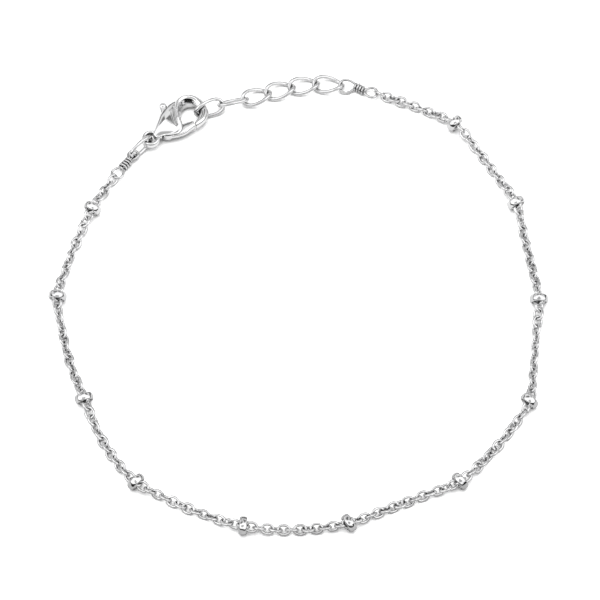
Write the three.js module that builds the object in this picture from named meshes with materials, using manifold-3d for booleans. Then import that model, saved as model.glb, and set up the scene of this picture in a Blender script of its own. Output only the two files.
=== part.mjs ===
// Satellite-chain bracelet lying flat as a closed loop: a fine cable chain with eleven rondelle beads, a
// wire-wrapped connector at each end, a six-link extender and a lobster clasp with a sprung lever.
// Millimetres, +Z up, the surface that it lies on at z = 0.
import * as THREE from "three";
import { mergeVertices } from "three/addons/utils/BufferGeometryUtils.js";
import Module from "manifold-3d";

const wasm = await Module();
wasm.setup();
const radians = THREE.MathUtils.degToRad;

// The cable chain, as a tube as wide as its leaning links reach across. A stretch starts clear of the bead
// behind it and ends just past its own bead; pastBead counts in steps of the route.
const CHAIN = { diameter: 1.2, sides: 8, steps: 5, startGap: 1.0, pastBead: 0.05 };

// The chain's route from the left connector round the front to the right one. Every third point, from the
// third on, is the centre of a bead; between beads the chain sags to the surface.
const ROUTE = [
  [-25.25, 17.6, 0.66], [-25.95, 16.35, 0.72], [-27.5, 13.3, 1.25],
  [-29.3, 9, 0.72], [-30.7, 4.6, 0.72], [-31.7, 0, 1.25],
  [-30.9, -5.1, 0.72], [-29.6, -10.1, 0.72], [-27.75, -15, 1.25],
  [-26.0, -19.3, 0.72], [-23.7, -23.3, 0.72], [-20.75, -26.95, 1.25],
  [-16.3, -29.3, 0.72], [-11.7, -31.4, 0.72], [-7.0, -33.1, 1.25],
  [-2.5, -33.4, 0.72], [2.0, -33.25, 0.72], [6.45, -32.7, 1.25],
  [11.2, -30.6, 0.72], [15.9, -28.7, 0.72], [20.7, -26.85, 1.25],
  [24.2, -23.3, 0.72], [27.3, -19.5, 0.72], [29.95, -15.4, 1.25],
  [30.7, -10.4, 0.72], [31.2, -5.4, 0.72], [31.7, -0.45, 1.25],
  [31.0, 4.4, 0.72], [30.1, 9.3, 0.72], [29.1, 14.1, 1.25],
  [26.8, 18.4, 0.72], [24.2, 22.6, 0.72], [21.2, 26.5, 1.25],
  [17.9, 28.5, 0.72], [14.4, 30.1, 0.72], [11.5, 31.25, 0.66],
];
const FIRST_BEAD = 2;
const BEAD_EVERY = 3;
const ROUTE_SAMPLES = 30;

// The beads, each turned a little on the chain, in degrees about +Z.
const BEAD = { diameter: 2.5, thickness: 1.25, hole: 1.0, sides: 14, sectionPoints: 8 };
const BEAD_TURNS = [0, -10, -13, -5, 9, 17, 2, 2, -1, 2, 3];

// Oval links. A tilt raises the link's left side as seen along its heading; it changes evenly from the
// link's start to its end, so links that lie flat are twisted like curb links.
const LINK_SIDES = 8;
const LINK_STEPS = 18;
const EXTENDER = { length: 4.45, width: 2.8, wire: 0.48 };
const EXTENDER_LINKS = [
  { x: -12.05, y: 28.8, z: 1.3, heading: 21, slope: 0, tiltStart: 85, tiltEnd: 40 },
  { x: -8.85, y: 29.9, z: 1.15, heading: 17, slope: -4, tiltStart: -48, tiltEnd: -52 },
  { x: -5.7, y: 31.0, z: 0.85, heading: 21, slope: -4, tiltStart: 32, tiltEnd: -40 },
  { x: -2.5, y: 32.05, z: 0.75, heading: 16, slope: 0, tiltStart: 40, tiltEnd: -42 },
  { x: 0.75, y: 32.8, z: 0.75, heading: 9, slope: 0, tiltStart: 40, tiltEnd: -42 },
  { x: 4.1, y: 32.95, z: 0.75, heading: -4, slope: 0, tiltStart: 40, tiltEnd: -45 },
];
const TAIL_LINK = {
  length: 4.1, width: 2.6, wire: 0.5,
  x: -21.2, y: 22.7, z: 1.3, heading: -135, slope: -5, tiltStart: 97, tiltEnd: 97,
};

// Wire-wrapped connectors: a coil round the wire's two ends, with a loop at each end of it.
const WRAP = { wire: 0.3, coilDiameter: 1.25, height: 0.66, inset: 0.2 };
const COIL_SIDES = 12;
const LOOP_SIDES = 6;
const LOOP_STEPS = 16;
const CONNECTORS = [
  {
    name: "wrapped_end_left", x: -23.25, y: 20.44, heading: -130, coilLength: 1.9, turns: 5,
    startLoop: { length: 1.85, width: 1.75, bend: 12, tilt: -12 },
    endLoop: { length: 1.9, width: 1.85, bend: 8, tilt: 0 },
  },
  {
    name: "wrapped_end_right", x: 8.4, y: 32.34, heading: -32, coilLength: 1.8, turns: 4,
    startLoop: { length: 2.4, width: 2.1, bend: 38, tilt: -18 },
    endLoop: { length: 1.95, width: 1.8, bend: 22, tilt: 0 },
  },
];

// The clasp, in its own frame: the tail eye's centre at the origin, the hook along +x.
const CLASP = { x: -19.88, y: 23.94, heading: 36, middle: 1.3 };
const EYE = { radius: 0.98, band: 0.27, height: 1.05, sides: 8, steps: 18 };
const DOME = { x: 3.6, y: 0.4, length: 8.6, width: 7.0, height: 2.7 };
const SHELL_HEIGHT = 2.6;
const SHELL_FAR = [[2.05, 1.3], [3.2, 2.2], [4.6, 2.85], [6.1, 3.02]];
const SHELL_FRONT = [[5.8, 1.6], [5.0, 0.55], [4.55, -0.45], [4.0, -1.75]];
const SHELL_NEAR = [[3.6, -1.8], [3.0, -1.6], [2.2, -1.2], [1.4, -0.75], [0.8, -0.5]];
const HOOK = [
  { x: 4.9, y: 2.1, width: 1.6, height: 2.2 },
  { x: 6.0, y: 2.4, width: 1.35, height: 2.1 },
  { x: 7.2, y: 2.25, width: 1.25, height: 2.0 },
  { x: 8.15, y: 1.5, width: 1.35, height: 1.6 },
  { x: 8.45, y: 0.35, width: 1.35, height: 1.25 },
  { x: 8.15, y: -0.8, width: 1.3, height: 1.2 },
  { x: 7.3, y: -1.55, width: 1.15, height: 1.3 },
  { x: 6.2, y: -1.8, width: 0.85, height: 1.35 },
  { x: 5.6, y: -1.8, width: 0.8, height: 1.35 },
];
const HOOK_SIDES = 10;
const HOOK_STEPS = 20;
const HOOK_SQUARENESS = 0.75;
const SLOT = [
  [1.25, -3.2], [1.25, 0.05], [1.9, 0.9], [2.1, 3.8], [4.75, 3.8],
  [4.3, 2.0], [4.4, 1.35], [5.9, 0.9], [5.9, -3.2],
];
const SLOT_HEIGHT = 1.3;

// The lever and its pivot. The lever's plate runs in the slot with the clearance above and below it.
const PIVOT = { x: 2.5, y: -0.4, pinDiameter: 0.7, pinLength: 2.3, clearance: 0.07, sides: 16 };
const LEVER = {
  reach: 3.75, mouthGap: 0.17, plateHeight: 1.1, tailRadius: 1.05, armHeight: 1.4, armRounding: 0.2,
};
const LEVER_PLATE = [
  [2.5, -1.45], [3.45, -1.95], [4.5, -2.15], [5.3, -2.15], [5.3, -1.0], [4.0, -0.1], [2.9, 0.4],
];
const LEVER_ARM = [
  [4.25, -2.1], [4.6, -1.3], [4.95, -0.7], [5.3, -0.95], [6.5, -1.5], [6.5, -2.1], [5.3, -2.2],
];
const KNOB = { x: 4.1, y: 3.4, diameter: 1.05, stemWidth: 0.7, stemHeight: 0.9 };

// A closed geometry as a solid for joining and cutting.
function solidOf(geometry) {
  const bare = geometry.clone();
  bare.deleteAttribute("normal");
  bare.deleteAttribute("uv");
  const merged = mergeVertices(bare, 1e-4);
  const mesh = new wasm.Mesh({
    numProp: 3,
    vertProperties: merged.getAttribute("position").array,
    triVerts: new Uint32Array(merged.index.array),
  });
  return new wasm.Manifold(mesh);
}

// A solid as a geometry with flat faces.
function geometryOf(solid) {
  const { vertProperties, triVerts } = solid.getMesh();
  const shared = new THREE.BufferGeometry();
  shared.setAttribute("position", new THREE.BufferAttribute(vertProperties, 3));
  shared.setIndex(new THREE.BufferAttribute(triVerts, 1));
  const geometry = shared.toNonIndexed();
  geometry.computeVertexNormals();
  return geometry;
}

// A named piece of polished silver.
function silverPiece(name, geometry) {
  const material = new THREE.MeshStandardMaterial({ color: 0xe4e5e7, roughness: 0.12, metalness: 1 });
  const mesh = new THREE.Mesh(geometry, material);
  mesh.name = name;
  return mesh;
}

// A ring of round wire. A torus gives the closed surface, and centreAt(angle) is the wire's centre as it
// goes round the origin.
function wireRing(wire, centreAt, sides, steps) {
  const geometry = new THREE.TorusGeometry(1, wire / 2, sides, steps);
  const position = geometry.getAttribute("position");
  const point = new THREE.Vector3();
  const turn = Math.PI / steps;
  for (let i = 0; i < position.count; i++) {
    point.fromBufferAttribute(position, i);
    const angle = Math.atan2(point.y, point.x);
    const outward = Math.hypot(point.x, point.y) - 1;
    const centre = centreAt(angle);
    const along = centreAt(angle + turn).sub(centreAt(angle - turn)).normalize();
    const out = centre.clone().addScaledVector(along, -centre.dot(along)).normalize();
    const up = new THREE.Vector3().crossVectors(out, along);
    const moved = centre.addScaledVector(out, outward).addScaledVector(up, point.z);
    position.setXYZ(i, moved.x, moved.y, moved.z);
  }
  return geometry;
}

// An oval link of the given outer length and width along x, twisted about x.
function ovalLink({ length, width, wire, tiltStart, tiltEnd }) {
  const halfLength = (length - wire) / 2;
  const halfWidth = (width - wire) / 2;
  const centreAt = (angle) => {
    const share = (Math.cos(angle) + 1) / 2;
    const tilt = radians(THREE.MathUtils.lerp(tiltStart, tiltEnd, share));
    const side = halfWidth * Math.sin(angle);
    return new THREE.Vector3(halfLength * Math.cos(angle), side * Math.cos(tilt), side * Math.sin(tilt));
  };
  return wireRing(wire, centreAt, LINK_SIDES, LINK_STEPS);
}

// The six extender links, from the clasp to the right connector.
function extenderLinks() {
  return EXTENDER_LINKS.map((link, i) => {
    const mesh = silverPiece(`extender_link_${i + 1}`, ovalLink({ ...EXTENDER, ...link }));
    mesh.position.set(link.x, link.y, link.z);
    mesh.rotation.set(0, radians(-link.slope), radians(link.heading), "ZYX");
    return mesh;
  });
}

// The link that joins the clasp's eye to the left connector.
function tailLink() {
  const mesh = silverPiece("tail_link", ovalLink(TAIL_LINK));
  mesh.position.set(TAIL_LINK.x, TAIL_LINK.y, TAIL_LINK.z);
  mesh.rotation.set(0, radians(-TAIL_LINK.slope), radians(TAIL_LINK.heading), "ZYX");
  return mesh;
}

// A connector's coil along x: a lathe with one crest for each turn of the wire.
function coil({ coilLength, turns }) {
  const crest = WRAP.coilDiameter / 2;
  const groove = crest - WRAP.wire / 2;
  const pitch = coilLength / turns;
  const profile = [new THREE.Vector2(0, -coilLength / 2)];
  for (let i = 0; i < turns; i++) {
    const start = -coilLength / 2 + i * pitch;
    profile.push(new THREE.Vector2(groove, start));
    profile.push(new THREE.Vector2(crest, start + pitch * 0.3));
    profile.push(new THREE.Vector2(crest, start + pitch * 0.7));
  }
  profile.push(new THREE.Vector2(groove, coilLength / 2));
  profile.push(new THREE.Vector2(0, coilLength / 2));
  return new THREE.LatheGeometry(profile, COIL_SIDES).rotateZ(-Math.PI / 2);
}

// One teardrop loop of a connector: its narrow end lies in the coil's end at (end, 0), and it points along
// the given direction.
function connectorLoop({ length, width, tilt }, end, direction) {
  const halfLength = (length + WRAP.inset - WRAP.wire) / 2;
  const halfWidth = (width - WRAP.wire) / 2;
  const centreAt = (angle) => {
    const side = halfWidth * Math.sin(angle) * (1 + 0.3 * Math.cos(angle));
    const lean = radians(tilt);
    return new THREE.Vector3(halfLength * Math.cos(angle), side * Math.cos(lean), side * Math.sin(lean));
  };
  const loop = wireRing(WRAP.wire, centreAt, LOOP_SIDES, LOOP_STEPS);
  loop.translate(halfLength - WRAP.inset, 0, 0);
  return loop.rotateZ(radians(direction)).translate(end, 0, 0);
}

// A wire-wrapped connector: the coil and its two loops are one solid.
function connector(row) {
  const half = row.coilLength / 2;
  const solid = solidOf(coil(row))
    .add(solidOf(connectorLoop(row.startLoop, -half, 180 + row.startLoop.bend)))
    .add(solidOf(connectorLoop(row.endLoop, half, row.endLoop.bend)));
  const mesh = silverPiece(row.name, geometryOf(solid));
  mesh.position.set(row.x, row.y, WRAP.height);
  mesh.rotation.z = radians(row.heading);
  return mesh;
}

// The part of the route between two of its points, shortened at its start.
function routeBetween(first, last, startGap) {
  const route = new THREE.CatmullRomCurve3(ROUTE.map((point) => new THREE.Vector3(...point)));
  const samples = [];
  for (let i = 0; i <= ROUTE_SAMPLES; i++) {
    const point = THREE.MathUtils.lerp(first, last, i / ROUTE_SAMPLES);
    samples.push(route.getPoint(point / (ROUTE.length - 1)));
  }
  const whole = new THREE.CatmullRomCurve3(samples);
  const gap = startGap / whole.getLength();
  const kept = [];
  for (let i = 0; i <= CHAIN.steps; i++) {
    kept.push(whole.getPointAt(THREE.MathUtils.lerp(gap, 1, i / CHAIN.steps)));
  }
  return new THREE.CatmullRomCurve3(kept);
}

// The chain's tube along a curve.
function chainTube(curve) {
  const section = new THREE.Shape();
  section.absarc(0, 0, CHAIN.diameter / 2, 0, 2 * Math.PI);
  const options = { steps: CHAIN.steps, curveSegments: CHAIN.sides, extrudePath: curve };
  return new THREE.ExtrudeGeometry(section, options);
}

// A rondelle bead at a point of the route, its hole along the chain and then turned about +Z.
function bead(index, turn) {
  const outer = BEAD.diameter / 2;
  const middle = (outer + BEAD.hole / 2) / 2;
  const profile = [];
  for (let i = 0; i <= BEAD.sectionPoints; i++) {
    const angle = (2 * Math.PI * (i + 0.5)) / BEAD.sectionPoints;
    const flatOf = Math.cos(Math.PI / BEAD.sectionPoints);
    const radius = middle + ((outer - middle) * Math.cos(angle)) / flatOf;
    profile.push(new THREE.Vector2(radius, ((BEAD.thickness / 2) * Math.sin(angle)) / flatOf));
  }
  const [beforeX, beforeY] = ROUTE[index - 1];
  const [afterX, afterY] = ROUTE[index + 1];
  const heading = Math.atan2(afterY - beforeY, afterX - beforeX) + radians(turn);
  const geometry = new THREE.LatheGeometry(profile, BEAD.sides);
  geometry.rotateZ(heading - Math.PI / 2);
  return geometry.translate(...ROUTE[index]);
}

// The chain in stretches from bead to bead. Each stretch but the last carries the bead at its end.
function chainStretches() {
  const last = ROUTE.length - 1;
  const ends = BEAD_TURNS.map((turn, i) => FIRST_BEAD + BEAD_EVERY * i);
  const starts = [0, ...ends];
  return starts.map((start, i) => {
    const name = `chain_stretch_${String(i + 1).padStart(2, "0")}`;
    const startGap = start === 0 ? 0 : CHAIN.startGap;
    if (i === ends.length) {
      return silverPiece(name, chainTube(routeBetween(start, last, startGap)));
    }
    const curve = routeBetween(start, ends[i] + CHAIN.pastBead, startGap);
    const solid = solidOf(chainTube(curve)).add(solidOf(bead(ends[i], BEAD_TURNS[i])));
    return silverPiece(name, geometryOf(solid));
  });
}

// A flat plate of the given outline, centred on the clasp's middle height.
function plate(outline, height, rounding) {
  const depth = height - 2 * rounding;
  const geometry = new THREE.ExtrudeGeometry(outline, {
    depth,
    curveSegments: 3,
    bevelEnabled: rounding > 0,
    bevelThickness: rounding,
    bevelSize: rounding,
    bevelOffset: -rounding,
    bevelSegments: 2,
  });
  return geometry.translate(0, 0, CLASP.middle - depth / 2);
}

// A straight-sided outline from a list of points.
function outlineOf(points) {
  return new THREE.Shape(points.map(([x, y]) => new THREE.Vector2(x, y)));
}

// An upright cylinder at the lever's pivot, centred on the clasp's middle height.
function pivotCylinder(radius, height, sides) {
  const geometry = new THREE.CylinderGeometry(radius, radius, height, sides).rotateX(Math.PI / 2);
  return solidOf(geometry.translate(PIVOT.x, PIVOT.y, CLASP.middle));
}

// The domed shell between the eye and the hook: a rounded outline under a flattened ellipsoid, cut level at
// its top and at its foot, which the clasp lies on.
function claspShell() {
  const vectors = (points) => points.map(([x, y]) => new THREE.Vector2(x, y));
  const outline = new THREE.Shape();
  outline.moveTo(0.8, 0.4);
  outline.splineThru(vectors(SHELL_FAR));
  outline.lineTo(SHELL_FRONT[0][0] + 0.3, SHELL_FRONT[0][1] + 0.3);
  outline.lineTo(...SHELL_FRONT[0]);
  outline.splineThru(vectors(SHELL_FRONT.slice(1)));
  outline.splineThru(vectors(SHELL_NEAR));
  const dome = new THREE.SphereGeometry(0.5, 24, 14).rotateX(Math.PI / 2);
  dome.scale(DOME.length, DOME.width, DOME.height).translate(DOME.x, DOME.y, CLASP.middle);
  return solidOf(plate(outline, SHELL_HEIGHT, 0)).intersect(solidOf(dome));
}

// The hook: a bar with a softly squared section, whose width and height change along its centre line. A
// capped cylinder gives the closed surface.
function claspHook() {
  const centres = HOOK.map(({ x, y }) => new THREE.Vector3(x, y, CLASP.middle));
  const sections = HOOK.map(({ width, height }) => new THREE.Vector3(width, height, 0));
  const line = new THREE.CatmullRomCurve3(centres);
  const sizes = new THREE.CatmullRomCurve3(sections);
  const geometry = new THREE.CylinderGeometry(0.5, 0.5, 1, HOOK_SIDES, HOOK_STEPS);
  const position = geometry.getAttribute("position");
  const point = new THREE.Vector3();
  const squared = (value) => (Math.sign(value) * Math.abs(2 * value) ** HOOK_SQUARENESS) / 2;
  for (let i = 0; i < position.count; i++) {
    point.fromBufferAttribute(position, i);
    const share = THREE.MathUtils.clamp(point.y + 0.5, 0, 1);
    const centre = line.getPoint(share);
    const along = line.getTangent(share);
    const size = sizes.getPoint(share);
    const across = new THREE.Vector3(-along.y, along.x, 0);
    centre.addScaledVector(across, squared(point.x) * size.x);
    position.setXYZ(i, centre.x, centre.y, centre.z - squared(point.z) * size.y);
  }
  return solidOf(geometry);
}

// The clasp's cast body: eye, shell and hook in one, slotted for the lever, with the pivot pin riveted in.
function claspBody() {
  const eye = new THREE.TorusGeometry(EYE.radius, EYE.band, EYE.sides, EYE.steps);
  eye.scale(1, 1, EYE.height / (2 * EYE.band)).translate(0, 0, CLASP.middle);
  const swept = pivotCylinder(LEVER.reach + LEVER.mouthGap, DOME.height, 48);
  const slot = solidOf(plate(outlineOf(SLOT), SLOT_HEIGHT, 0));
  const pin = pivotCylinder(PIVOT.pinDiameter / 2, PIVOT.pinLength, PIVOT.sides);
  const hook = claspHook().subtract(swept);
  const solid = claspShell().add(hook).add(solidOf(eye)).subtract(slot).add(pin);
  return silverPiece("clasp_body", geometryOf(solid));
}

// The lever: a plate round the pivot, a thicker arm to the hook's mouth, and a stem with the thumb knob.
function claspLever() {
  const tail = pivotCylinder(LEVER.tailRadius, LEVER.plateHeight, 20);
  const arm = solidOf(plate(outlineOf(LEVER_ARM), LEVER.armHeight, LEVER.armRounding));
  const reach = pivotCylinder(LEVER.reach, DOME.height, 48);
  const angle = Math.atan2(KNOB.y - PIVOT.y, KNOB.x - PIVOT.x);
  const length = Math.hypot(KNOB.y - PIVOT.y, KNOB.x - PIVOT.x);
  const stem = new THREE.BoxGeometry(length, KNOB.stemWidth, KNOB.stemHeight).translate(length / 2, 0, 0);
  stem.rotateZ(angle).translate(PIVOT.x, PIVOT.y, CLASP.middle);
  const knob = new THREE.SphereGeometry(KNOB.diameter / 2, 12, 8).translate(KNOB.x, KNOB.y, CLASP.middle);
  const bore = pivotCylinder(PIVOT.pinDiameter / 2 + PIVOT.clearance, DOME.height, PIVOT.sides);
  const solid = solidOf(plate(outlineOf(LEVER_PLATE), LEVER.plateHeight, 0))
    .add(tail)
    .add(arm.intersect(reach))
    .add(solidOf(stem))
    .add(solidOf(knob))
    .subtract(bore);
  return silverPiece("clasp_lever", geometryOf(solid));
}

const clasp = new THREE.Group();
clasp.position.set(CLASP.x, CLASP.y, 0);
clasp.rotation.z = radians(CLASP.heading);
clasp.add(claspBody(), claspLever());

const bracelet = new THREE.Group();
bracelet.add(clasp, tailLink(), ...extenderLinks());
bracelet.add(...CONNECTORS.map(connector), ...chainStretches());

export default bracelet;
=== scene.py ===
import math
import random

import bmesh
import bpy
from mathutils import Matrix, Vector


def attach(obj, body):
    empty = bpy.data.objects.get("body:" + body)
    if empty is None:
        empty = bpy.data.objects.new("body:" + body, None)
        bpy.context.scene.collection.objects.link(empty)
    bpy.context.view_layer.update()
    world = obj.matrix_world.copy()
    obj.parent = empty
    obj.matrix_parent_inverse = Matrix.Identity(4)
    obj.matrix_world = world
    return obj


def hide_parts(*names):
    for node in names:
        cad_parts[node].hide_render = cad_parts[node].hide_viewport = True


# A satellite-chain bracelet lying as a closed loop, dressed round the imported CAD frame. Metres, +Z up.
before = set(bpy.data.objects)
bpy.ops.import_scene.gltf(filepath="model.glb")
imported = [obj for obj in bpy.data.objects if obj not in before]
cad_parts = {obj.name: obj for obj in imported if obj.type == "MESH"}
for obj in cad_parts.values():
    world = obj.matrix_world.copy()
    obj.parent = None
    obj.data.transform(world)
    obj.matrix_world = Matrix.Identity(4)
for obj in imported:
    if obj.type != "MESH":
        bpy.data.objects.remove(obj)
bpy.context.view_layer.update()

mm = 0.001
scene = bpy.context.scene
scene.view_settings.view_transform = "Standard"

cameraSetup = {
    "elevation": 62,  # degrees above the table
    "distance": 0.450,
    "target": (0.24 * mm, 0.06 * mm, 0),
    "lens": 204.5,
}


def makeCamera():
    data = bpy.data.cameras.new("product_camera")
    data.lens = cameraSetup["lens"]
    camera = bpy.data.objects.new("product_camera", data)
    height = math.radians(cameraSetup["elevation"])
    back = Vector((0, -math.cos(height), math.sin(height)))
    camera.location = Vector(cameraSetup["target"]) + back * cameraSetup["distance"]
    camera.rotation_euler = (math.pi / 2 - height, 0, 0)
    scene.collection.objects.link(camera)
    scene.camera = camera


makeCamera()
print("camera placed")


# Curves, sweeps and placing, used by several pieces

def splineThrough(points, perSpan):
    # centripetal Catmull-Rom, the curve that the CAD route uses
    points = [Vector(point) for point in points]
    samples = []
    for i in range(len(points) - 1):
        b, c = points[i], points[i + 1]
        a = points[i - 1] if i > 0 else 2 * b - c
        d = points[i + 2] if i + 2 < len(points) else 2 * c - b
        before, here, after = (math.sqrt((q - p).length) for p, q in ((a, b), (b, c), (c, d)))
        leave = here * ((b - a) / before - (c - a) / (before + here) + (c - b) / here)
        arrive = here * ((c - b) / here - (d - b) / (here + after) + (d - c) / after)
        for step in range(perSpan):
            t = step / perSpan
            samples.append(
                b * (2 * t**3 - 3 * t**2 + 1) + leave * (t**3 - 2 * t**2 + t)
                + c * (3 * t**2 - 2 * t**3) + arrive * (t**3 - t**2)
            )
    samples.append(points[-1])
    return samples


def roundedPower(value, power):
    return math.copysign(abs(value) ** power, value)


def sweepRings(mesh, rings, closed):
    # a skin over rings of points; open ends are capped
    loops = [[mesh.verts.new(point) for point in ring] for ring in rings]
    following = loops[1:] + loops[:1] if closed else loops[1:]
    for first, second in zip(loops, following):
        for i in range(len(first)):
            k = (i + 1) % len(first)
            mesh.faces.new((first[i], first[k], second[k], second[i]))
    if not closed:
        mesh.faces.new(reversed(loops[0]))
        mesh.faces.new(loops[-1])


def bentRing(mesh, centreAt, wide, high, sides, steps, place):
    # closed wire; wide is measured away from the ring's middle and high across that
    rings = []
    turn = math.pi / steps
    for step in range(steps):
        angle = 2 * math.pi * step / steps
        centre = centreAt(angle)
        along = (centreAt(angle + turn) - centreAt(angle - turn)).normalized()
        out = (centre - along * centre.dot(along)).normalized()
        up = out.cross(along)
        ring = []
        for side in range(sides):
            t = 2 * math.pi * side / sides
            ring.append(place @ (centre + out * wide / 2 * math.cos(t) + up * high / 2 * math.sin(t)))
        rings.append(ring)
    sweepRings(mesh, rings, True)


endTaper = (0.45, 0.85)  # a wire's radius at its end, and one step in


def wireAlong(mesh, path, wire, sides, place):
    # open wire on a path, its ends rounded over
    path = [Vector(point) for point in path]
    out = Vector((0.13, 0.21, 0.97))  # any direction that no wire here runs in
    rings = []
    for i, point in enumerate(path):
        along = (path[min(i + 1, len(path) - 1)] - path[max(i - 1, 0)]).normalized()
        out = (out - along * out.dot(along)).normalized()
        up = along.cross(out)
        fromEnd = min(i, len(path) - 1 - i)
        radius = wire / 2 * (1.0 if fromEnd > 1 else endTaper[fromEnd])
        rings.append([
            place @ (point + (out * math.cos(t) + up * math.sin(t)) * radius)
            for t in (2 * math.pi * side / sides for side in range(sides))
        ])
    sweepRings(mesh, rings, False)


def finishMesh(mesh, name):
    bmesh.ops.recalc_face_normals(mesh, faces=mesh.faces)
    data = bpy.data.meshes.new(name)
    mesh.to_mesh(data)
    mesh.free()
    return data


def addPiece(name, data, slot, body, nodes):
    for face in data.polygons:
        face.use_smooth = True
    data.materials.clear()
    data.materials.append(silver[slot])
    piece = bpy.data.objects.new(name, data)
    scene.collection.objects.link(piece)
    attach(piece, body)
    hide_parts(*nodes)
    return piece


def placed(row, height):
    turn = Matrix.Rotation(math.radians(row["heading"]), 4, "Z")
    return Matrix.Translation((row["x"], row["y"], height)) @ turn


# Nodes, used by the finishes, the table and the tent

def grey(value, cast=1.0):
    return (value, value, value * cast, 1)


def noiseNode(nodes, scale, detail):
    noise = nodes.new("ShaderNodeTexNoise")
    noise.inputs["Scale"].default_value = scale
    noise.inputs["Detail"].default_value = detail
    return noise


def rampNode(nodes, start, end):
    # start and end are each a position and a colour
    ramp = nodes.new("ShaderNodeValToRGB")
    for stop, (position, colour) in zip(ramp.color_ramp.elements, (start, end)):
        stop.position = position
        stop.color = colour
    return ramp


def rangeNode(nodes, before, after, eased=False):
    ranged = nodes.new("ShaderNodeMapRange")
    if eased:
        ranged.interpolation_type = "SMOOTHSTEP"
    ranged.inputs["From Min"].default_value, ranged.inputs["From Max"].default_value = before
    ranged.inputs["To Min"].default_value, ranged.inputs["To Max"].default_value = after
    return ranged


def mathNode(nodes, operation):
    node = nodes.new("ShaderNodeMath")
    node.operation = operation
    return node


def multiplyNode(nodes):
    # one colour times another
    mix = nodes.new("ShaderNodeMix")
    mix.data_type = "RGBA"
    mix.blend_type = "MULTIPLY"
    mix.inputs["Factor"].default_value = 1.0
    return mix


# Silver finishes

# tone runs from dark to light, and gloss from smooth to dull; painted shade darkens the hollows and fades
# out over tuck
silverLooks = {
    "chain_silver": {
        "light": 0.95, "dark": 0.75, "hollow": 0.7 * mm, "tuck": (0.25, 0.58), "paintedShade": 0.03,
        "smooth": 0.02, "dull": 0.08, "grain": 5200, "bump": 0.30, "dent": 0.16 * mm,
    },
    "link_silver": {
        "light": 0.91, "dark": 0.80, "hollow": 0.7 * mm, "tuck": (0.28, 0.76), "paintedShade": 0.20,
        "smooth": 0.05, "dull": 0.15, "grain": 3800, "bump": 0.10, "dent": 0.02 * mm,
    },
    "wire_silver": {
        "light": 0.88, "dark": 0.56, "hollow": 0.7 * mm, "tuck": (0.40, 0.70), "paintedShade": 0.03,
        "smooth": 0.05, "dull": 0.16, "grain": 5200, "bump": 0.12, "dent": 0.04 * mm,
    },
    "clasp_silver": {
        "light": 0.97, "dark": 0.91, "hollow": 1.1 * mm, "tuck": (0.34, 0.78), "paintedShade": 0.10,
        "smooth": 0.06, "dull": 0.16, "grain": 2600, "bump": 0.10, "dent": 0.02 * mm,
    },
}
silverMarks = {
    # the same on all four; scales are per metre
    "toneScale": 700, "toneSpread": (0.3, 0.62), "darkCast": 1.01, "lightCast": 1.004,
    # the painted shade's occlusion samples and its colour cast
    "tuckSamples": 8, "paintedShadeCast": 0.98,
    "hazeSpread": (0.35, 0.70),
    "scratchScale": (9000, 1300, 5000), "scratchTurn": (0.3, 0.2, 0.9), "scratchDepth": 0.01 * mm,
    "dentScale": 1100,
}


def makeSilver(name):
    look = silverLooks[name]
    material = bpy.data.materials.new(name)
    material.use_nodes = True
    nodes = material.node_tree.nodes
    link = material.node_tree.links.new
    shader = nodes["Principled BSDF"]
    shader.inputs["Metallic"].default_value = 1.0
    place = nodes.new("ShaderNodeTexCoord")

    # slow change of tone, as the polish takes the light
    tone = noiseNode(nodes, silverMarks["toneScale"], detail=3)
    darkEnd, lightEnd = silverMarks["toneSpread"]
    toneRamp = rampNode(
        nodes,
        (darkEnd, grey(look["dark"], silverMarks["darkCast"])),
        (lightEnd, grey(look["light"], silverMarks["lightCast"])),
    )
    link(place.outputs["Object"], tone.inputs["Vector"])
    link(tone.outputs["Fac"], toneRamp.inputs["Fac"])

    # painted shade: the base colour darkens where the metal is tucked in, by ambient occlusion
    tucked = nodes.new("ShaderNodeAmbientOcclusion")
    tucked.samples = silverMarks["tuckSamples"]
    tucked.inputs["Distance"].default_value = look["hollow"]
    deep, clear = look["tuck"]
    tuckRamp = rampNode(
        nodes, (deep, grey(look["paintedShade"], silverMarks["paintedShadeCast"])), (clear, grey(1))
    )
    paintedShade = multiplyNode(nodes)
    link(tucked.outputs["AO"], tuckRamp.inputs["Fac"])
    link(toneRamp.outputs["Color"], paintedShade.inputs["A"])
    link(tuckRamp.outputs["Color"], paintedShade.inputs["B"])
    link(paintedShade.outputs["Result"], shader.inputs["Base Color"])

    # haze in the gloss, from finer noise
    haze = noiseNode(nodes, look["grain"], detail=5)
    gloss = rangeNode(nodes, silverMarks["hazeSpread"], (look["smooth"], look["dull"]))
    link(place.outputs["Object"], haze.inputs["Vector"])
    link(haze.outputs["Fac"], gloss.inputs["Value"])
    link(gloss.outputs["Result"], shader.inputs["Roughness"])

    # hairline scratches, from drawn-out noise
    drawn = nodes.new("ShaderNodeMapping")
    drawn.inputs["Scale"].default_value = silverMarks["scratchScale"]
    drawn.inputs["Rotation"].default_value = silverMarks["scratchTurn"]
    scratch = noiseNode(nodes, 1.0, detail=4)
    bump = nodes.new("ShaderNodeBump")
    bump.inputs["Strength"].default_value = look["bump"]
    bump.inputs["Distance"].default_value = silverMarks["scratchDepth"]
    link(place.outputs["Object"], drawn.inputs["Vector"])
    link(drawn.outputs["Vector"], scratch.inputs["Vector"])
    link(scratch.outputs["Fac"], bump.inputs["Height"])
    link(bump.outputs["Normal"], shader.inputs["Normal"])

    # shallow dents from casting and tumbling
    dents = noiseNode(nodes, silverMarks["dentScale"], detail=1)
    dented = nodes.new("ShaderNodeBump")
    dented.inputs["Distance"].default_value = look["dent"]
    link(place.outputs["Object"], dents.inputs["Vector"])
    link(dents.outputs["Fac"], dented.inputs["Height"])
    link(dented.outputs["Normal"], bump.inputs["Normal"])
    return material


silver = {name: makeSilver(name) for name in silverLooks}
print("silver finishes made")


# The fine cable chain and its rondelle beads

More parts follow.
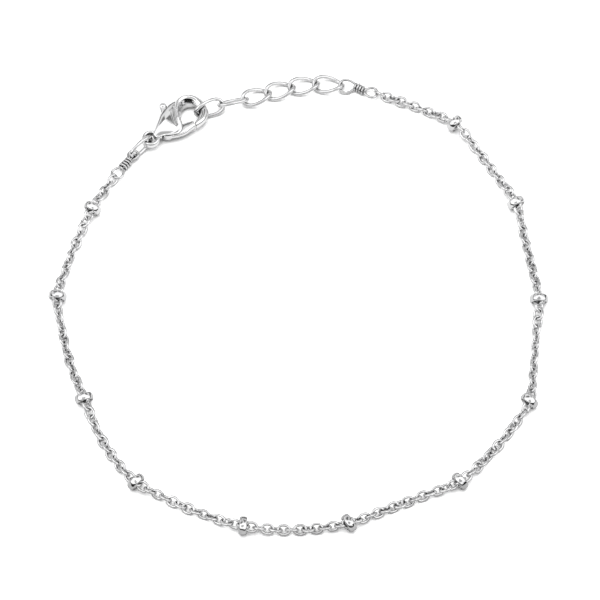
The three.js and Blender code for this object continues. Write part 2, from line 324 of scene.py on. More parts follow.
chain = {
    "linkLength": 1.84 * mm, "linkWidth": 1.56 * mm,
    "wireWide": 0.37 * mm, "wireHigh": 0.37 * mm,
    "pitch": 1.06 * mm, "sides": 12, "steps": 28,
    "lean": 42, "wobble": 18,  # degrees: links lie on their flanks, to one side and then to the other
    "yaw": 3, "seed": 7, "clear": 0.002 * mm,
    "fullness": (0.92, 0.86),  # a link's ends and flanks, from square (0) to round (1)
    "settle": (0.65 * mm, 0.56 * mm),  # the tube's lowest centre, and the links' there
    "firstLink": (-0.02493, 0.01800, 0.00066),  # hooked in the left connector
    "lastLink": (0.01120, 0.03150, 0.00066),  # hooked in the right connector
}
route = [
    (-0.02525, 0.0176, 0.00066), (-0.02595, 0.01635, 0.00072), (-0.0275, 0.0133, 0.00125),
    (-0.0293, 0.009, 0.00072), (-0.0307, 0.0046, 0.00072), (-0.0317, 0, 0.00125),
    (-0.0309, -0.0051, 0.00072), (-0.0296, -0.0101, 0.00072), (-0.02775, -0.015, 0.00125),
    (-0.026, -0.0193, 0.00072), (-0.0237, -0.0233, 0.00072), (-0.02075, -0.02695, 0.00125),
    (-0.0163, -0.0293, 0.00072), (-0.0117, -0.0314, 0.00072), (-0.007, -0.0331, 0.00125),
    (-0.0025, -0.0334, 0.00072), (0.002, -0.03325, 0.00072), (0.00645, -0.0327, 0.00125),
    (0.0112, -0.0306, 0.00072), (0.0159, -0.0287, 0.00072), (0.0207, -0.02685, 0.00125),
    (0.0242, -0.0233, 0.00072), (0.0273, -0.0195, 0.00072), (0.02995, -0.0154, 0.00125),
    (0.0307, -0.0104, 0.00072), (0.0312, -0.0054, 0.00072), (0.0317, -0.00045, 0.00125),
    (0.031, 0.0044, 0.00072), (0.0301, 0.0093, 0.00072), (0.0291, 0.0141, 0.00125),
    (0.0268, 0.0184, 0.00072), (0.0242, 0.0226, 0.00072), (0.0212, 0.0265, 0.00125),
    (0.0179, 0.0285, 0.00072), (0.0144, 0.0301, 0.00072), (0.0115, 0.03125, 0.00066),
]
firstBead, beadEvery = 2, 3  # the points of the route that the beads sit on
bead = {
    "diameter": 2.46 * mm, "thickness": 1.02 * mm, "hole": 1.56 * mm,
    "steps": 56, "sides": 28, "fullness": 0.96,
    "turns": [-8, -10, -4, -5, 9, 17, 8, -20, -1, 8, 3],  # degrees about +Z
    "leans": [10, 12, 12, 10, 2, 6, 8, 10, 12, 10, 10],  # degrees forward
}


def oneLink():
    halfLength = (chain["linkLength"] - chain["wireWide"]) / 2
    halfWidth = (chain["linkWidth"] - chain["wireWide"]) / 2
    endFullness, flankFullness = chain["fullness"]
    mesh = bmesh.new()

    def centreAt(angle):
        return Vector((
            halfLength * roundedPower(math.cos(angle), endFullness),
            halfWidth * roundedPower(math.sin(angle), flankFullness), 0,
        ))

    bentRing(mesh, centreAt, chain["wireWide"], chain["wireHigh"], chain["sides"], chain["steps"], Matrix())
    return finishMesh(mesh, "chain_link_pattern")


def makeChain():
    perSpan = 30
    path = splineThrough(route, perSpan)
    path = [Vector(chain["firstLink"])] + path + [Vector(chain["lastLink"])]
    reached = [0.0]
    for a, b in zip(path, path[1:]):
        reached.append(reached[-1] + (b - a).length)

    def pointAt(distance):
        distance = min(max(distance, 0), reached[-1])
        i = next(k for k in range(1, len(reached)) if reached[k] >= distance - 1e-12)
        share = (distance - reached[i - 1]) / (reached[i] - reached[i - 1])
        return path[i - 1].lerp(path[i], share)

    beadAt = [firstBead + beadEvery * i for i in range(len(bead["turns"]))]
    stops = [0.0] + [reached[1 + index * perSpan] for index in beadAt] + [reached[-1]]
    counts = [round((b - a) / chain["pitch"]) for a, b in zip(stops, stops[1:])]
    pattern = oneLink()
    chance = random.Random(chain["seed"])
    links = 0
    mesh = bmesh.new()
    addLink(mesh, pattern, pointAt, 0, 0, chance)
    for stretch, count in enumerate(counts):
        start, end = stops[stretch], stops[stretch + 1]
        for i in range(1, count + 1):
            links += 1
            addLink(mesh, pattern, pointAt, start + (end - start) * i / count, links, chance)
        number = f"{stretch + 1:02d}"
        data = finishMesh(mesh, f"chain_links_{number}")
        addPiece(
            f"chain_links_{number}", data, "chain_silver", "bracelet", [f"chain_stretch_{number}"]
        )
        mesh = bmesh.new()
    mesh.free()
    for i, index in enumerate(beadAt):
        makeBead(f"{i + 1:02d}", index, bead["turns"][i], bead["leans"][i])
    print(f"chain made: {links + 1} links and {len(beadAt)} beads")


def addLink(mesh, pattern, pointAt, distance, count, chance):
    half = chain["pitch"] / 2
    along = pointAt(distance + half) - pointAt(distance - half)
    roll = (chain["lean"] if count % 2 else -chain["lean"]) + chance.uniform(-1, 1) * chain["wobble"]
    yaw = chance.uniform(-1, 1) * chain["yaw"]
    turn = along.to_track_quat("X", "Z").to_matrix().to_4x4()
    centre = pointAt(distance)
    tubeLow, linkLow = chain["settle"]
    beadHeight = route[firstBead][2]
    centre.z = linkLow + (centre.z - tubeLow) * (beadHeight - linkLow) / (beadHeight - tubeLow)
    reach = (chain["linkWidth"] - chain["wireWide"]) / 2 * abs(math.sin(math.radians(roll)))
    # a link's low side rests on the table
    centre.z = max(centre.z, reach + chain["wireWide"] / 2 + chain["clear"])
    place = Matrix.Translation(centre) @ turn
    place = place @ Matrix.Rotation(math.radians(yaw), 4, "Z") @ Matrix.Rotation(math.radians(roll), 4, "X")
    known = len(mesh.verts)
    mesh.from_mesh(pattern)
    mesh.verts.ensure_lookup_table()
    bmesh.ops.transform(mesh, matrix=place, verts=mesh.verts[known:])


def makeBead(number, index, turn, lean):
    outer, inner = bead["diameter"] / 2, bead["hole"] / 2
    middle, band = (outer + inner) / 2, (outer - inner) / 2
    before, after = Vector(route[index - 1]), Vector(route[index + 1])
    heading = math.atan2(after.y - before.y, after.x - before.x) + math.radians(turn)
    forward = math.copysign(math.radians(lean), -math.sin(heading))
    place = Matrix.Translation(route[index]) @ Matrix.Rotation(heading, 4, "Z")
    place = place @ Matrix.Rotation(forward, 4, "Y")
    rings = []
    for step in range(bead["steps"]):
        around = 2 * math.pi * step / bead["steps"]
        ring = []
        for side in range(bead["sides"]):
            t = 2 * math.pi * side / bead["sides"]
            radius = middle + band * roundedPower(math.cos(t), bead["fullness"])
            along = bead["thickness"] / 2 * roundedPower(math.sin(t), bead["fullness"])
            ring.append(place @ Vector((along, radius * math.cos(around), radius * math.sin(around))))
        rings.append(ring)
    mesh = bmesh.new()
    sweepRings(mesh, rings, True)
    name = f"bead_{number}"
    node = f"chain_stretch_{number}"
    addPiece(name, finishMesh(mesh, name), "chain_silver", "bracelet", [node])


makeChain()


# The extender's twisted oval links and the tail link

extender = {
    "length": 4.5 * mm, "width": 2.85 * mm, "wire": 0.54 * mm, "fullness": (0.9, 0.86),
    "sides": 24, "steps": 96,
    "links": [
        {"x": -12.05, "y": 28.8, "z": 1.32, "heading": 21, "slope": 0, "tilts": (85, 40)},
        {"x": -8.85, "y": 29.9, "z": 1.18, "heading": 17, "slope": -4, "tilts": (-48, -52)},
        {"x": -5.7, "y": 31.0, "z": 0.85, "heading": 21, "slope": -4, "tilts": (32, -40)},
        {"x": -2.5, "y": 32.05, "z": 0.75, "heading": 16, "slope": 0, "tilts": (40, -42)},
        {"x": 0.75, "y": 32.8, "z": 0.75, "heading": 9, "slope": 0, "tilts": (40, -42)},
        {"x": 4.1, "y": 32.95, "z": 0.75, "heading": -4, "slope": 0, "tilts": (40, -45)},
    ],
}
tailLink = {
    "length": 4.1 * mm, "width": 2.6 * mm, "wire": 0.54 * mm, "fullness": (0.9, 0.86),
    "sides": 24, "steps": 96,
    "x": -21.2, "y": 22.7, "z": 1.31, "heading": -135, "slope": -5, "tilts": (97, 97),
}


def makeOval(name, size, row, node):
    halfLength = (size["length"] - size["wire"]) / 2
    halfWidth = (size["width"] - size["wire"]) / 2
    first, last = row["tilts"]
    endFullness, flankFullness = size["fullness"]

    def centreAt(angle):
        tilt = math.radians(first + (last - first) * (math.cos(angle) + 1) / 2)
        along = halfLength * roundedPower(math.cos(angle), endFullness)
        side = halfWidth * roundedPower(math.sin(angle), flankFullness)
        return Vector((along, side * math.cos(tilt), side * math.sin(tilt)))

    place = Matrix.Translation(Vector((row["x"], row["y"], row["z"])) * mm)
    place = place @ Matrix.Rotation(math.radians(row["heading"]), 4, "Z")
    place = place @ Matrix.Rotation(math.radians(-row["slope"]), 4, "Y")
    mesh = bmesh.new()
    bentRing(mesh, centreAt, size["wire"], size["wire"], size["sides"], size["steps"], place)
    addPiece(name, finishMesh(mesh, name), "link_silver", "bracelet", [node])


for i, row in enumerate(extender["links"]):
    makeOval(f"extender_oval_{i + 1}", extender, row, f"extender_link_{i + 1}")
makeOval("tail_oval", tailLink, tailLink, "tail_link")
print("extender and tail links made")


# The wire-wrapped connectors

wrap = {
    "wire": 0.36 * mm, "coilWire": 0.30 * mm, "coilDiameter": 1.28 * mm, "height": 0.66 * mm,
    "inset": 0.2 * mm, "teardrop": 0.3, "loopSteps": 72,
    "stemOffset": 0.155 * mm, "stemStops": (-1, -0.9, -0.5, 0, 0.5, 0.9, 1),
    "sides": 16, "stepsPerTurn": 40, "seed": 3,
    "wander": 0.03 * mm, "wanderAlong": 0.6,  # the coil's unevenness across, and along as a share of that
    "tuckedRadius": 0.72, "tuckRate": 6,  # a share at the coil's ends, and full after a sixth of a turn
}
connectors = [
    {
        "node": "wrapped_end_left", "x": -23.25 * mm, "y": 20.44 * mm, "heading": -130,
        "coilLength": 1.9 * mm, "turns": 4,
        "loops": [
            {"side": -1, "length": 1.85 * mm, "width": 1.75 * mm, "bend": 12, "tilt": -12},
            {"side": 1, "length": 1.9 * mm, "width": 1.85 * mm, "bend": 8, "tilt": 0},
        ],
    },
    {
        "node": "wrapped_end_right", "x": 8.4 * mm, "y": 32.34 * mm, "heading": -32,
        "coilLength": 1.8 * mm, "turns": 4,
        "loops": [
            {"side": -1, "length": 2.4 * mm, "width": 2.1 * mm, "bend": 38, "tilt": -18},
            {"side": 1, "length": 1.95 * mm, "width": 1.8 * mm, "bend": 22, "tilt": 0},
        ],
    },
]


def addWireLoop(mesh, row, loop, place):
    # a teardrop of wire whose narrow end lies inside the coil's end
    halfLength = (loop["length"] + wrap["inset"] - wrap["wire"]) / 2
    halfWidth = (loop["width"] - wrap["wire"]) / 2
    lean = math.radians(loop["tilt"])

    def centreAt(angle):
        side = halfWidth * math.sin(angle) * (1 + wrap["teardrop"] * math.cos(angle))
        return Vector((halfLength * math.cos(angle), side * math.cos(lean), side * math.sin(lean)))

    direction = math.radians(loop["bend"] + (180 if loop["side"] < 0 else 0))
    there = place @ Matrix.Translation((loop["side"] * row["coilLength"] / 2, 0, 0))
    there = there @ Matrix.Rotation(direction, 4, "Z")
    there = there @ Matrix.Translation((halfLength - wrap["inset"], 0, 0))
    bentRing(mesh, centreAt, wrap["wire"], wrap["wire"], wrap["sides"], wrap["loopSteps"], there)


def makeConnector(row, chance):
    mesh = bmesh.new()
    place = placed(row, wrap["height"])
    for loop in row["loops"]:
        addWireLoop(mesh, row, loop, place)
    # the two wires that run through the coil
    half = row["coilLength"] / 2
    for side in (-1, 1):
        stem = [(half * share, side * wrap["stemOffset"], 0) for share in wrap["stemStops"]]
        wireAlong(mesh, stem, wrap["wire"], wrap["sides"], place)
    # the wrapping itself, its ends tucked in against the stem
    steps = row["turns"] * wrap["stepsPerTurn"]
    reach = half - wrap["coilWire"] / 2
    around = (wrap["coilDiameter"] - wrap["coilWire"]) / 2
    drift = [chance.uniform(-1, 1) for _ in range(row["turns"] + 2)]
    path = []
    for step in range(steps + 1):
        share = step / steps
        turn = share * row["turns"]
        wander = drift[int(turn)] * (1 - turn % 1) + drift[int(turn) + 1] * (turn % 1)
        full = min(1, min(share, 1 - share) * row["turns"] * wrap["tuckRate"])
        tuck = wrap["tuckedRadius"] + (1 - wrap["tuckedRadius"]) * full
        radius = (around + wander * wrap["wander"]) * tuck
        x = -reach + 2 * reach * share + wander * wrap["wander"] * wrap["wanderAlong"]
        path.append((x, radius * math.cos(2 * math.pi * turn), radius * math.sin(2 * math.pi * turn)))
    wireAlong(mesh, path, wrap["coilWire"], wrap["sides"], place)
    name = row["node"].replace("wrapped_end", "wire_wrap")
    addPiece(name, finishMesh(mesh, name), "wire_silver", "bracelet", [row["node"]])


wrapChance = random.Random(wrap["seed"])
for row in connectors:
    makeConnector(row, wrapChance)
print("wrapped connectors made")


# The lobster clasp. Its castings are made a thousand times up, in the clasp's own frame: the tail eye's
# centre is the origin and the hook lies along +x.

castScale = 1000
clasp = {"x": -19.88 * mm, "y": 23.94 * mm, "heading": 36, "middle": 1.3}
claspPlace = placed(clasp, 0) @ Matrix.Scale(1 / castScale, 4)
claspEye = {"radius": 0.98, "band": 0.62, "height": 1.12, "fullness": 0.9, "steps": 72, "sides": 24}
claspShell = {
    # from the eye to the hook: x, near edge, far edge, ridge, and the height over the middle at the ridge
    # and at the near edge
    "stations": [
        (0.55, -0.40, 0.42, 0.10, 0.55, 0.45), (0.9, -0.56, 0.62, 0.22, 0.72, 0.58),
        (1.5, -0.85, 1.15, 0.45, 0.94, 0.70), (2.2, -1.25, 1.75, 0.62, 1.10, 0.74),
        (3.0, -1.66, 2.38, 0.82, 1.20, 0.74), (3.6, -1.86, 2.72, 0.90, 1.13, 0.74),
        (4.2, -1.95, 2.92, 0.95, 1.02, 0.76), (4.8, -2.0, 3.04, 1.05, 0.99, 0.76),
        (5.4, -2.0, 3.08, 1.30, 0.98, 0.76), (6.1, -2.0, 3.00, 1.80, 0.94, 0.76),
        (6.8, -2.0, 2.82, 2.20, 0.84, 0.70), (7.2, -2.0, 2.66, 2.20, 0.70, 0.60),
    ],
    "sides": 96,
    # powers that square or fill the section, across and up
    "near": (0.55, 0.5), "far": (0.88, 0.95), "under": 1.2,
    "fall": 0.08,  # from the ridge towards the far edge
    # the front's line, and round it to clear the rest away
    "front": [
        (7.0, 2.35), (6.35, 2.26), (5.6, 1.74), (5.06, 0.95), (4.68, 0.1), (4.38, -0.65),
        (4.05, -1.35), (3.75, -2.1),
    ],
    "beyond": [(3.9, -4.0), (9.0, -4.0), (9.0, 2.35)],
    # the raised rim, and the groove worked beside it: x, y, height, radius
    "rim": [
        (4.74, 0.30, 2.06, 0.28), (4.40, -0.52, 1.88, 0.34), (4.04, -1.15, 1.68, 0.40),
        (3.4, -1.50, 1.66, 0.36), (2.6, -1.28, 1.74, 0.24), (1.9, -0.96, 1.80, 0.16),
        (1.2, -0.60, 1.80, 0.10),
    ],
    "groove": [
        (6.3, 2.95, 2.56, 0.20), (5.75, 2.55, 2.56, 0.36), (5.12, 1.9, 2.56, 0.46),
        (4.62, 1.12, 2.58, 0.50), (4.22, 0.3, 2.56, 0.48), (3.94, -0.45, 2.44, 0.36),
        (3.7, -1.0, 2.30, 0.16),
    ],
}
claspHook = [
    # x, y, width, height, how far the section is a gable with a sloping inner wall
    (4.02, -1.3, 0.5, 1.5, 1), (4.34, -0.7, 0.66, 1.75, 1), (4.66, 0.1, 0.72, 2.0, 1),
    (5.06, 0.9, 0.78, 2.16, 1), (5.6, 1.68, 0.96, 2.28, 1), (6.35, 2.22, 1.28, 2.3, 1),
    (7.25, 2.22, 1.34, 2.24, 1), (8.0, 1.68, 1.34, 2.0, 0.9), (8.36, 1.0, 1.35, 1.6, 0.3),
    (8.45, 0.35, 1.35, 1.35, 0), (8.15, -0.8, 1.3, 1.25, 0), (7.3, -1.55, 1.15, 1.3, 0),
    (6.2, -1.8, 0.85, 1.35, 0), (5.6, -1.8, 0.8, 1.35, 0),
]
# the gable, from the crest over the inner wall and round under to the back: across, rise
hookGable = [
    (0.36, 1.0), (0.05, 0.97), (-0.24, 0.86), (-0.58, 0.56), (-0.92, 0.26), (-1.0, 0.0), (-1.0, -0.7),
    (-0.7, -0.98), (0.3, -1.0), (0.9, -0.75), (1.0, -0.2), (0.94, 0.35), (0.70, 0.80), (0.36, 1.0),
]
claspSlot = {
    "height": 1.15,
    "outline": [
        (1.37, -3.2), (1.37, 0.05), (1.9, 0.9), (2.1, 3.8), (5.1, 3.8),
        (4.4, 2.0), (4.4, 1.35), (5.9, 0.9), (5.9, -3.2),
    ],
}
claspPivot = {
    "x": 2.5, "y": -0.4, "pin": 0.7, "pinLength": 1.3, "pinSides": 40, "clearance": 0.07, "boreSides": 48,
}
claspLever = {
    "reach": 3.75, "reachSides": 160, "plateHeight": 0.9, "tailRadius": 1.05,
    "mouthGap": 0.14, "mouthSide": [(5.1, -4), (7.5, -4), (7.5, -0.5), (5.1, -0.5)],
    # along the bar: x, y, width, height
    "bar": [
        (2.0, -0.90, 0.6, 0.8), (2.7, -1.08, 1.05, 0.88), (3.5, -1.3, 1.32, 0.92), (4.3, -1.42, 1.5, 1.06),
        (5.1, -1.46, 1.36, 1.28), (5.8, -1.56, 1.12, 1.36), (6.8, -1.72, 0.86, 1.36),
    ],
    "barSides": 48, "fullness": (0.6, 0.95),  # the bar's section on top, and underneath
    # the knob, with what smoothing takes off its radius
    "knob": {
        "x": 4.25, "y": 3.27, "diameter": 1.05, "smoothed": 0.03, "stemWidth": 0.85, "stemHeight": 0.8,
    },
}
casting = {
    "voxel": 0.05, "leverVoxel": 0.8,  # the lever's as a share of the body's
    "smoothing": 14, "softness": 0.5, "beadSides": 20,
    "through": 4,  # a cutter of this height passes both faces
}


def workObject(name, mesh):
    piece = bpy.data.objects.new(name, finishMesh(mesh, name))
    scene.collection.objects.link(piece)
    return piece


def upright(name, outline, height):
    # a straight-sided block of the outline, centred on the clasp's middle height
    low, high = clasp["middle"] - height / 2, clasp["middle"] + height / 2
    mesh = bmesh.new()
    sweepRings(mesh, [[(x, y, z) for x, y in outline] for z in (low, high)], False)
    return workObject(name, mesh)


def roundUpright(name, centre, radius, height, sides=96):
    turns = [2 * math.pi * i / sides for i in range(sides)]
    outline = [(centre[0] + radius * math.cos(t), centre[1] + radius * math.sin(t)) for t in turns]
    return upright(name, outline, height)


def combine(piece, tool, operation):
    # works the tool into the piece and clears it away
    change = piece.modifiers.new(operation, "BOOLEAN")
    change.operation = operation
    change.solver = "EXACT"
    change.object = tool
    takeModifiers(piece)
    bpy.data.objects.remove(tool)


def takeModifiers(piece):
    shaped = piece.evaluated_get(bpy.context.evaluated_depsgraph_get())
    data = bpy.data.meshes.new_from_object(shaped)
    piece.modifiers.clear()
    piece.data = data


def castSkin(piece, voxel):
    # one even skin over the joined parts, its edges softened as tumbling does
    skin = piece.modifiers.new("skin", "REMESH")
    skin.mode = "VOXEL"
    skin.voxel_size = voxel
    soften = piece.modifiers.new("soften", "SMOOTH")
    soften.factor = casting["softness"]
    soften.iterations = casting["smoothing"]
    takeModifiers(piece)


def shellSolid():
    # a body swelling from the eye to the hook, squarer on its near side, with its front cut away
    nearAcross, nearUp = claspShell["near"]
    farAcross, farUp = claspShell["far"]
    rings = []
    for x, near, far, ridge, half, nearTop in splineThrough(claspShell["stations"], perSpan=8):
        ring = []
        for side in range(claspShell["sides"]):
            t = 2 * math.pi * side / claspShell["sides"]
            across, rise = math.cos(t), math.sin(t)
            if across < 0 < rise:
                reach = roundedPower(across, nearAcross)
                y = ridge + (ridge - near) * reach
                z = (half + (half - nearTop) * reach) * rise ** nearUp
            elif rise > 0:
                y = ridge + (far - ridge) * across ** farAcross
                z = (half - claspShell["fall"] * across) * rise ** farUp
            else:
                # drawn in underneath
                width = far - ridge if across > 0 else ridge - near
                y = ridge + width * roundedPower(across, claspShell["under"])
                z = half * rise
            ring.append((x, y, clasp["middle"] + z))
        rings.append(ring)
    mesh = bmesh.new()
    sweepRings(mesh, rings, False)
    shell = workObject("shell", mesh)
    front = splineThrough([(x, y, 0) for x, y in claspShell["front"]], perSpan=10)
    cut = [(point.x, point.y) for point in front] + claspShell["beyond"]
    combine(shell, upright("front", cut, casting["through"]), "DIFFERENCE")
    return shell


def beadSolid(name, rows):
    # a round bead of metal along the rows
    rows = splineThrough(rows, perSpan=8)
    rings = []
    for i, row in enumerate(rows):
        centre = Vector(row[:3])
        along = (rows[min(i + 1, len(rows) - 1)] - rows[max(i - 1, 0)]).to_3d().normalized()
        out = Vector((-along.y, along.x, 0)).normalized()
        up = out.cross(along)
        rings.append([
            centre + (out * math.cos(t) + up * math.sin(t)) * row[3]
            for t in (2 * math.pi * side / casting["beadSides"] for side in range(casting["beadSides"]))
        ])
    mesh = bmesh.new()
    sweepRings(mesh, rings, False)
    return workObject(name, mesh)


def hookSolid():
    # a bar whose arch has a gable section and whose arm is round
    rows = splineThrough(claspHook, perSpan=10)
    gable = splineThrough([(across, rise, 0) for across, rise in hookGable], perSpan=6)[:-1]
    rings = []
    for i, row in enumerate(rows):
        centre = Vector((row[0], row[1], clasp["middle"]))
        along = (rows[min(i + 1, len(rows) - 1)] - rows[max(i - 1, 0)]).to_3d()
        out = Vector((-along.y, along.x, 0)).normalized()
        ring = []
        for k, corner in enumerate(gable):
            t = math.pi / 2 + 2 * math.pi * k / len(gable)
            plain = Vector((math.cos(t), math.sin(t), 0))
            point = plain.lerp(corner, min(max(row[4], 0), 1))
            ring.append(centre + out * point.x * row[2] / 2 + Vector((0, 0, point.y * row[3] / 2)))
        rings.append(ring)
    mesh = bmesh.new()
    sweepRings(mesh, rings, False)
    return workObject("hook", mesh)


def eyeSolid():
    fullness = claspEye["fullness"]
    rings = []
    for step in range(claspEye["steps"]):
        around = 2 * math.pi * step / claspEye["steps"]
        ring = []
        for side in range(claspEye["sides"]):
            t = 2 * math.pi * side / claspEye["sides"]
            radius = claspEye["radius"] + claspEye["band"] / 2 * roundedPower(math.cos(t), fullness)
            rise = claspEye["height"] / 2 * roundedPower(math.sin(t), fullness)
            ring.append((radius * math.cos(around), radius * math.sin(around), clasp["middle"] + rise))
        rings.append(ring)
    mesh = bmesh.new()
    sweepRings(mesh, rings, True)
    return workObject("eye", mesh)


def makeClaspBody():
    pivot = (claspPivot["x"], claspPivot["y"])
    hook = hookSolid()
    mouth = roundUpright("mouth", pivot, claspLever["reach"] + claspLever["mouthGap"], casting["through"])
    combine(mouth, upright("near_side", claspLever["mouthSide"], casting["through"] + 1), "INTERSECT")
    combine(hook, mouth, "DIFFERENCE")
    body = shellSolid()
    combine(body, beadSolid("groove", claspShell["groove"]), "DIFFERENCE")
    combine(body, hook, "UNION")
    combine(body, beadSolid("rim", claspShell["rim"]), "UNION")
    combine(body, eyeSolid(), "UNION")
    combine(body, upright("slot", claspSlot["outline"], claspSlot["height"]), "DIFFERENCE")
    castSkin(body, casting["voxel"])
    takeCasting(body, "clasp_cast_body", "bracelet", "clasp_body")

    radius, length = claspPivot["pin"] / 2, claspPivot["pinLength"]
    pin = roundUpright("pin", pivot, radius, length, claspPivot["pinSides"])
    takeCasting(pin, "clasp_pivot_pin", "bracelet", "clasp_body")


def barSolid():
    # a bar with rounded edges, wider where it comes out of the shell
    rows = splineThrough(claspLever["bar"], perSpan=10)
    onTop, underneath = claspLever["fullness"]
    rings = []
    for i, row in enumerate(rows):
        along = (rows[min(i + 1, len(rows) - 1)] - rows[max(i - 1, 0)]).to_3d()
        out = Vector((-along.y, along.x, 0)).normalized()
        ring = []
        for side in range(claspLever["barSides"]):
            t = 2 * math.pi * side / claspLever["barSides"]
            fullness = onTop if math.sin(t) > 0 else underneath
            across = row[2] / 2 * roundedPower(math.cos(t), fullness)
            rise = row[3] / 2 * roundedPower(math.sin(t), fullness)
            ring.append(Vector((row[0], row[1], clasp["middle"] + rise)) + out * across)
        rings.append(ring)
    mesh = bmesh.new()
    sweepRings(mesh, rings, False)
    return workObject("bar", mesh)


def makeClaspLever():
    pivot = (claspPivot["x"], claspPivot["y"])
    knob = claspLever["knob"]
    lever = barSolid()
    reach = roundUpright("reach", pivot, claspLever["reach"], casting["through"], claspLever["reachSides"])
    combine(lever, reach, "INTERSECT")
    tail = roundUpright("tail", pivot, claspLever["tailRadius"], claspLever["plateHeight"])
    combine(lever, tail, "UNION")
    toKnob = Vector((knob["x"] - pivot[0], knob["y"] - pivot[1]))
    side = Vector((-toKnob.y, toKnob.x)).normalized() * knob["stemWidth"] / 2
    corners = [Vector(pivot) + side, Vector(pivot) - side]
    corners += [corner + toKnob for corner in reversed(corners)]
    combine(lever, upright("stem", [tuple(c) for c in corners], knob["stemHeight"]), "UNION")
    ball = bmesh.new()
    bmesh.ops.create_icosphere(ball, subdivisions=4, radius=knob["diameter"] / 2 + knob["smoothed"])
    bmesh.ops.translate(ball, verts=ball.verts, vec=(knob["x"], knob["y"], clasp["middle"]))
    combine(lever, workObject("ball", ball), "UNION")
    radius = claspPivot["pin"] / 2 + claspPivot["clearance"]
    bore = roundUpright("bore", pivot, radius, casting["through"], claspPivot["boreSides"])
    combine(lever, bore, "DIFFERENCE")
    castSkin(lever, casting["voxel"] * casting["leverVoxel"])
    takeCasting(lever, "clasp_cast_lever", "lever", "clasp_lever")


def takeCasting(work, name, body, node):
    data = work.data
    data.transform(claspPlace)
    bpy.data.objects.remove(work)
    data.name = name
    addPiece(name, data, "clasp_silver", body, [node])


makeClaspBody()
makeClaspLever()
print("clasp cast")


# Table and light

table = {
    "radius": 0.32, "segments": 96, "roughness": 0.7,
    "grain": 400, "tones": (0.88, 0.92),
    "mirrored": (0.28, 0.46),  # how bright the metal mirrors it, in front and at the back
    "glow": (-0.032, 0.014),  # and where that changes
}
studio = {
    # the tent from its open front over the roof to the back wall: degrees up from the front, brightness
    "tent": [
        (-8, 0.30), (0, 0.02), (25, 0.04), (37, 1.0), (104, 1.0), (111, 0.62), (140, 0.66), (165, 0.60),
        (180, 0.40),
    ],
    "span": (-20, 180),  # the degrees that its tones are laid out over
    "horizon": (0.05, 0.38, 0.03),  # the dark foot of the walls: sine of its start and end, brightness
    # dark boards over the back wall, either side: degrees round from straight back, sines of foot and top
    "board": {"sides": (7, 13, 40, 54), "rise": (0.46, 0.66, 0.84, 0.90), "tone": 0.14},
    # where the camera looks in: elevation, inner and outer spread, brightness
    "opening": (62, 13, 24, 0.35),
    "tentStrength": 1.25,
    "key": {"place": (-0.06, 0.10, 0.70), "size": 0.9, "watts": 10.0},
}


def makeFloor():
    mesh = bmesh.new()
    bmesh.ops.create_circle(mesh, cap_ends=True, segments=table["segments"], radius=table["radius"])
    floor = bpy.data.objects.new("table_top", finishMesh(mesh, "table_top"))
    scene.collection.objects.link(floor)
    material = bpy.data.materials.new("table_white")
    material.use_nodes = True
    nodes = material.node_tree.nodes
    link = material.node_tree.links.new
    shader = nodes["Principled BSDF"]
    shader.inputs["Roughness"].default_value = table["roughness"]
    place = nodes.new("ShaderNodeTexCoord")
    grain = noiseNode(nodes, table["grain"], detail=2)
    dull, bright = table["tones"]
    ramp = rampNode(nodes, (0, grey(dull)), (1, grey(bright)))
    link(place.outputs["Object"], grain.inputs["Vector"])
    link(grain.outputs["Fac"], ramp.inputs["Fac"])

    # in the metal the table is darker, and darkest in front
    ray = nodes.new("ShaderNodeLightPath")
    dim = rangeNode(nodes, (0, 1), (1, 1))
    parts = nodes.new("ShaderNodeSeparateXYZ")
    glow = rangeNode(nodes, table["glow"], table["mirrored"], eased=True)
    tone = multiplyNode(nodes)
    link(place.outputs["Object"], parts.inputs["Vector"])
    link(parts.outputs["Y"], glow.inputs["Value"])
    link(glow.outputs["Result"], dim.inputs["To Max"])
    link(ray.outputs["Is Glossy Ray"], dim.inputs["Value"])
    link(ramp.outputs["Color"], tone.inputs["A"])
    link(dim.outputs["Result"], tone.inputs["B"])
    link(tone.outputs["Result"], shader.inputs["Base Color"])
    floor.data.materials.append(material)


def tentTones(nodes, link, parts):
    # the tent's brightness by how far round it is, from the open front over the roof
    forward = mathNode(nodes, "MULTIPLY")
    forward.inputs[1].default_value = -1
    rise = mathNode(nodes, "ARCTAN2")
    low, high = studio["span"]
    share = rangeNode(nodes, (math.radians(low), math.radians(high)), (0, 1))
    ramp = nodes.new("ShaderNodeValToRGB")
    stops = ramp.color_ramp.elements
    stops.remove(stops[1])
    for i, (degrees, tone) in enumerate(studio["tent"]):
        position = (degrees - low) / (high - low)
        stop = stops.new(position) if i else stops[0]
        stop.position = position
        stop.color = grey(tone)
    link(parts.outputs["Y"], forward.inputs[0])
    link(parts.outputs["Z"], rise.inputs[0])
    link(forward.outputs["Value"], rise.inputs[1])
    link(rise.outputs["Value"], share.inputs["Value"])
    link(share.outputs["Result"], ramp.inputs["Fac"])
    return ramp.outputs["Color"]


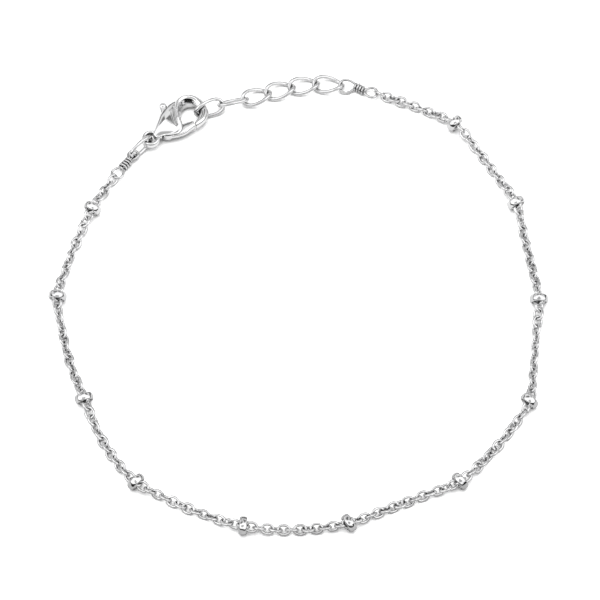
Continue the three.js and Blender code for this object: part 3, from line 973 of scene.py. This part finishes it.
def boardMask(nodes, link, parts):
    # 1 on the dark boards and 0 off them, with soft edges
    azimuth = mathNode(nodes, "ARCTAN2")
    link(parts.outputs["X"], azimuth.inputs[0])
    link(parts.outputs["Y"], azimuth.inputs[1])
    either = mathNode(nodes, "ABSOLUTE")
    link(azimuth.outputs["Value"], either.inputs[0])
    sides = [math.radians(degrees) for degrees in studio["board"]["sides"]]
    rise = studio["board"]["rise"]
    inside = None
    for source, start, end in (
        (either.outputs["Value"], sides[0], sides[1]),
        (either.outputs["Value"], sides[3], sides[2]),
        (parts.outputs["Z"], rise[0], rise[1]),
        (parts.outputs["Z"], rise[3], rise[2]),
    ):
        edge = rangeNode(nodes, (start, end), (0, 1), eased=True)
        link(source, edge.inputs["Value"])
        if inside is None:
            inside = edge.outputs["Result"]
            continue
        both = mathNode(nodes, "MULTIPLY")
        link(inside, both.inputs[0])
        link(edge.outputs["Result"], both.inputs[1])
        inside = both.outputs["Value"]
    return inside


def tentOpening(nodes, link, place):
    # the gap in the roof that the camera looks through, as a dimmer patch
    height, near, far, dim = studio["opening"]
    height = math.radians(height)
    facing = nodes.new("ShaderNodeVectorMath")
    facing.operation = "DOT_PRODUCT"
    facing.inputs[1].default_value = (0, -math.cos(height), math.sin(height))
    spread = (math.cos(math.radians(far)), math.cos(math.radians(near)))
    opening = rangeNode(nodes, spread, (1, dim), eased=True)
    link(place.outputs["Generated"], facing.inputs[0])
    link(facing.outputs["Value"], opening.inputs["Value"])
    return opening.outputs["Result"]


def makeTent():
    # what the metal mirrors; seen directly it is plain white
    world = bpy.data.worlds.new("light_tent")
    scene.world = world
    world.use_nodes = True
    nodes = world.node_tree.nodes
    link = world.node_tree.links.new
    place = nodes.new("ShaderNodeTexCoord")
    parts = nodes.new("ShaderNodeSeparateXYZ")
    link(place.outputs["Generated"], parts.inputs["Vector"])

    boarded = nodes.new("ShaderNodeMix")
    boarded.data_type = "RGBA"
    boarded.inputs["B"].default_value = grey(studio["board"]["tone"])
    link(boardMask(nodes, link, parts), boarded.inputs["Factor"])
    link(tentTones(nodes, link, parts), boarded.inputs["A"])

    start, end, dark = studio["horizon"]
    foot = rangeNode(nodes, (start, end), (dark, 1), eased=True)
    footed = multiplyNode(nodes)
    link(parts.outputs["Z"], foot.inputs["Value"])
    link(boarded.outputs["Result"], footed.inputs["A"])
    link(foot.outputs["Result"], footed.inputs["B"])

    opened = multiplyNode(nodes)
    link(footed.outputs["Result"], opened.inputs["A"])
    link(tentOpening(nodes, link, place), opened.inputs["B"])

    walls = nodes["Background"]
    walls.inputs["Strength"].default_value = studio["tentStrength"]
    link(opened.outputs["Result"], walls.inputs["Color"])
    white = nodes.new("ShaderNodeBackground")
    white.inputs["Color"].default_value = grey(1)
    ray = nodes.new("ShaderNodeLightPath")
    choose = nodes.new("ShaderNodeMixShader")
    link(ray.outputs["Is Camera Ray"], choose.inputs["Fac"])
    link(walls.outputs["Background"], choose.inputs[1])
    link(white.outputs["Background"], choose.inputs[2])
    link(choose.outputs["Shader"], nodes["World Output"].inputs["Surface"])


def makeKey():
    # evens out the table; the metal mirrors the tent alone
    data = bpy.data.lights.new("soft_key", "AREA")
    data.shape = "DISK"
    data.size = studio["key"]["size"]
    data.energy = studio["key"]["watts"]
    lamp = bpy.data.objects.new("soft_key", data)
    lamp.location = studio["key"]["place"]
    lamp.rotation_euler = (-Vector(studio["key"]["place"])).to_track_quat("-Z", "Y").to_euler()
    lamp.visible_glossy = False
    scene.collection.objects.link(lamp)


makeFloor()
makeTent()
makeKey()
print("table and light ready")
